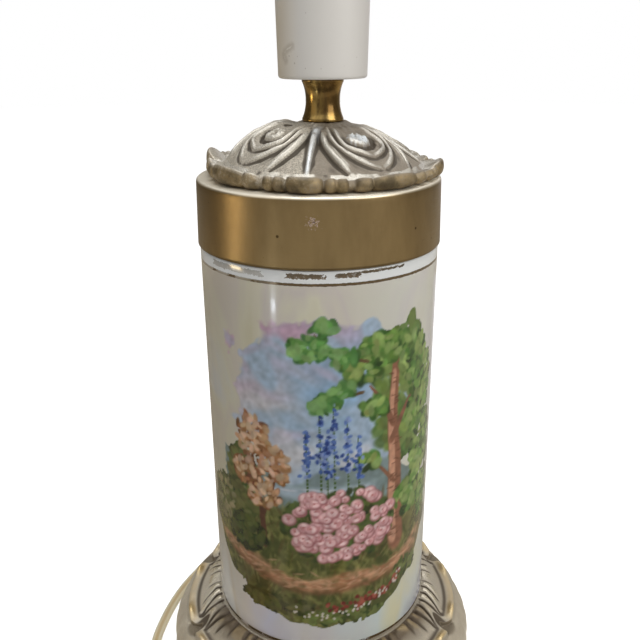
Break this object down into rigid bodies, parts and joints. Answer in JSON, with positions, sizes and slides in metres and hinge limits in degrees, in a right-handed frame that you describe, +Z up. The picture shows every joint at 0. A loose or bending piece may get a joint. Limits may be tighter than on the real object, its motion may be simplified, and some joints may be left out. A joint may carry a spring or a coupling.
{
  "type": "table lamp",
  "caption": "Table lamp with a printed porcelain cylinder between leaf castings of patinated brass, a white screw lampholder and a gold flex with an in-line rocker switch.",
  "frame": {"origin": "centre of the base's underside, on the table", "axes": "+Z up along the cylinder, -Y towards the printed front, +X to the viewer's right"},
  "size_m": [0.1845, 0.2923, 0.3567],
  "materials": {
    "felt": "felt",
    "cast_brass": "cast, patinated",
    "brass": "satin",
    "porcelain": "lustre glaze",
    "white_plastic": "semi-gloss",
    "steel": "plated",
    "cork": "matt",
    "block_ceramic": "matt",
    "flex": "translucent gold",
    "gold_plastic": "semi-gloss",
    "brown_plastic": "matt"
  },
  "bodies": {
    "lamp": {"base_felt": "felt", "base_casting": "cast_brass", "flex_bush": "brown_plastic", "base_washer": "steel", "base_nut": "brass", "stem_tube": "steel", "lower_gasket": "cork", "porcelain_body": "porcelain", "upper_gasket": "cork", "brass_collar": "brass", "crown_casting": "cast_brass", "neck_spool": "brass", "holder_cup": "white_plastic", "holder_grub_screw": "steel", "contact_block": "block_ceramic", "terminal_screws": "brass", "centre_contact": "brass", "side_contact": "brass", "thread_sleeve": "brass", "holder_skirt": "white_plastic", "riser_flex": "flex", "flex_run": "flex", "switch_base": "gold_plastic", "switch_cover": "gold_plastic", "switch_contacts": "brass", "switch_screws": "steel", "flex_coil": "flex", "coil_ties": "brown_plastic", "plug_body": "gold_plastic", "plug_pins": "steel"},
    "rocker": {"switch_rocker": "brown_plastic"}
  },
  "joints": [
    {"name": "rocker_tilt", "type": "hinge", "parent": "lamp", "child": "rocker", "pos_m": [-0.092, -0.062, 0.0125], "axis": [1, 0, 0], "range_deg": [0, 18]}
  ]
}
